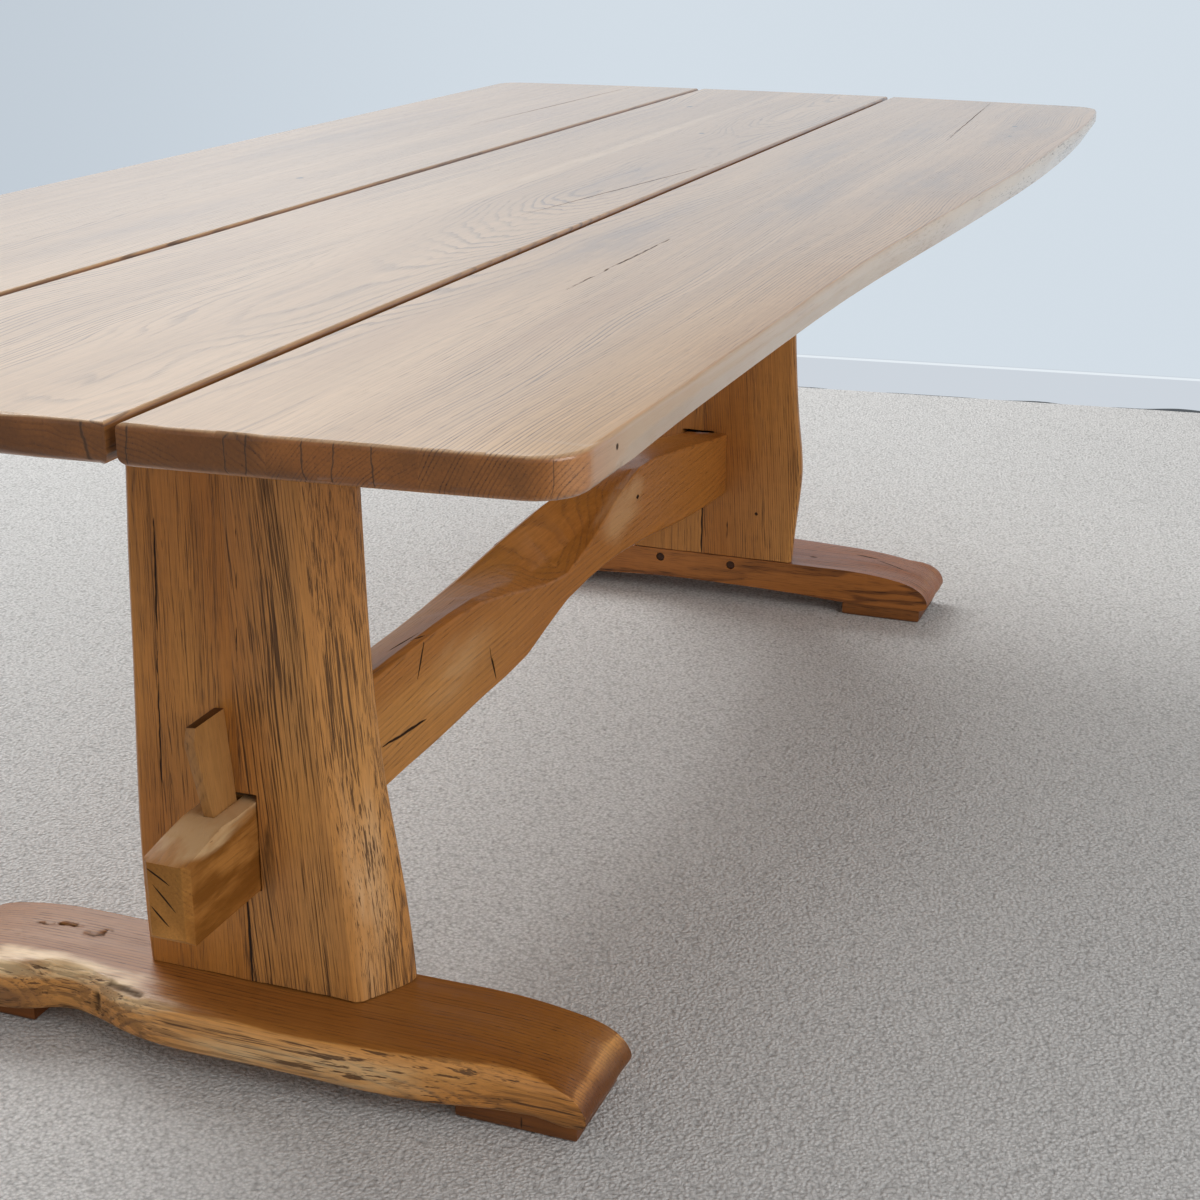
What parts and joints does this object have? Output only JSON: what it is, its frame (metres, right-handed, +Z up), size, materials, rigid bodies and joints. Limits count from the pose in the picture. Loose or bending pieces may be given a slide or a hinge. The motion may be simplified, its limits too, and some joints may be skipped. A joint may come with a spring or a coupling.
{
  "type": "trestle dining table",
  "caption": "Long plank-topped trestle dining table with a live edge, slab legs on sled feet and a hand-shaped stretcher locked by lift-out wedges.",
  "frame": {"origin": "on the floor under the middle of the top's length and width", "axes": "+X along the table towards the far end, +Y across it towards the straight-edged left side, +Z up"},
  "size_m": [2.302, 1.062, 0.75],
  "materials": {
    "top_oak": "pale oak, satin oil",
    "frame_oak": "honey oak, satin oil",
    "pad_oak": "darker oak, satin oil",
    "peg_oak": "dark oak dowel, satin oil",
    "wedge_oak": "light oak, satin oil",
    "screw_steel": "zinc plated, satin"
  },
  "bodies": {
    "table": {"left_board_outer_plank": "top_oak", "left_board_inner_plank": "top_oak", "middle_board_left_plank": "top_oak", "middle_board_right_plank": "top_oak", "right_board_inner_plank": "top_oak", "right_board_middle_plank": "top_oak", "right_board_outer_plank": "top_oak", "stretcher": "frame_oak", "near_bearer": "frame_oak", "near_leg_left_half": "frame_oak", "near_leg_right_half": "frame_oak", "near_foot": "frame_oak", "far_bearer": "frame_oak", "far_leg_left_half": "frame_oak", "far_leg_right_half": "frame_oak", "far_foot": "frame_oak", "near_left_pad": "pad_oak", "near_right_pad": "pad_oak", "far_left_pad": "pad_oak", "far_right_pad": "pad_oak", "near_foot_pegs": "peg_oak", "far_foot_pegs": "peg_oak", "near_bearer_screws": "screw_steel", "far_bearer_screws": "screw_steel"},
    "near_wedge": {"near_wedge": "wedge_oak"},
    "far_wedge": {"far_wedge": "wedge_oak"}
  },
  "joints": [
    {"name": "near_wedge_lift", "type": "slide", "parent": "table", "child": "near_wedge", "axis": [0, 0.0802, 0.9968], "range_m": [0, 0.1]},
    {"name": "far_wedge_lift", "type": "slide", "parent": "table", "child": "far_wedge", "axis": [0, 0.0802, 0.9968], "range_m": [0, 0.1]}
  ]
}
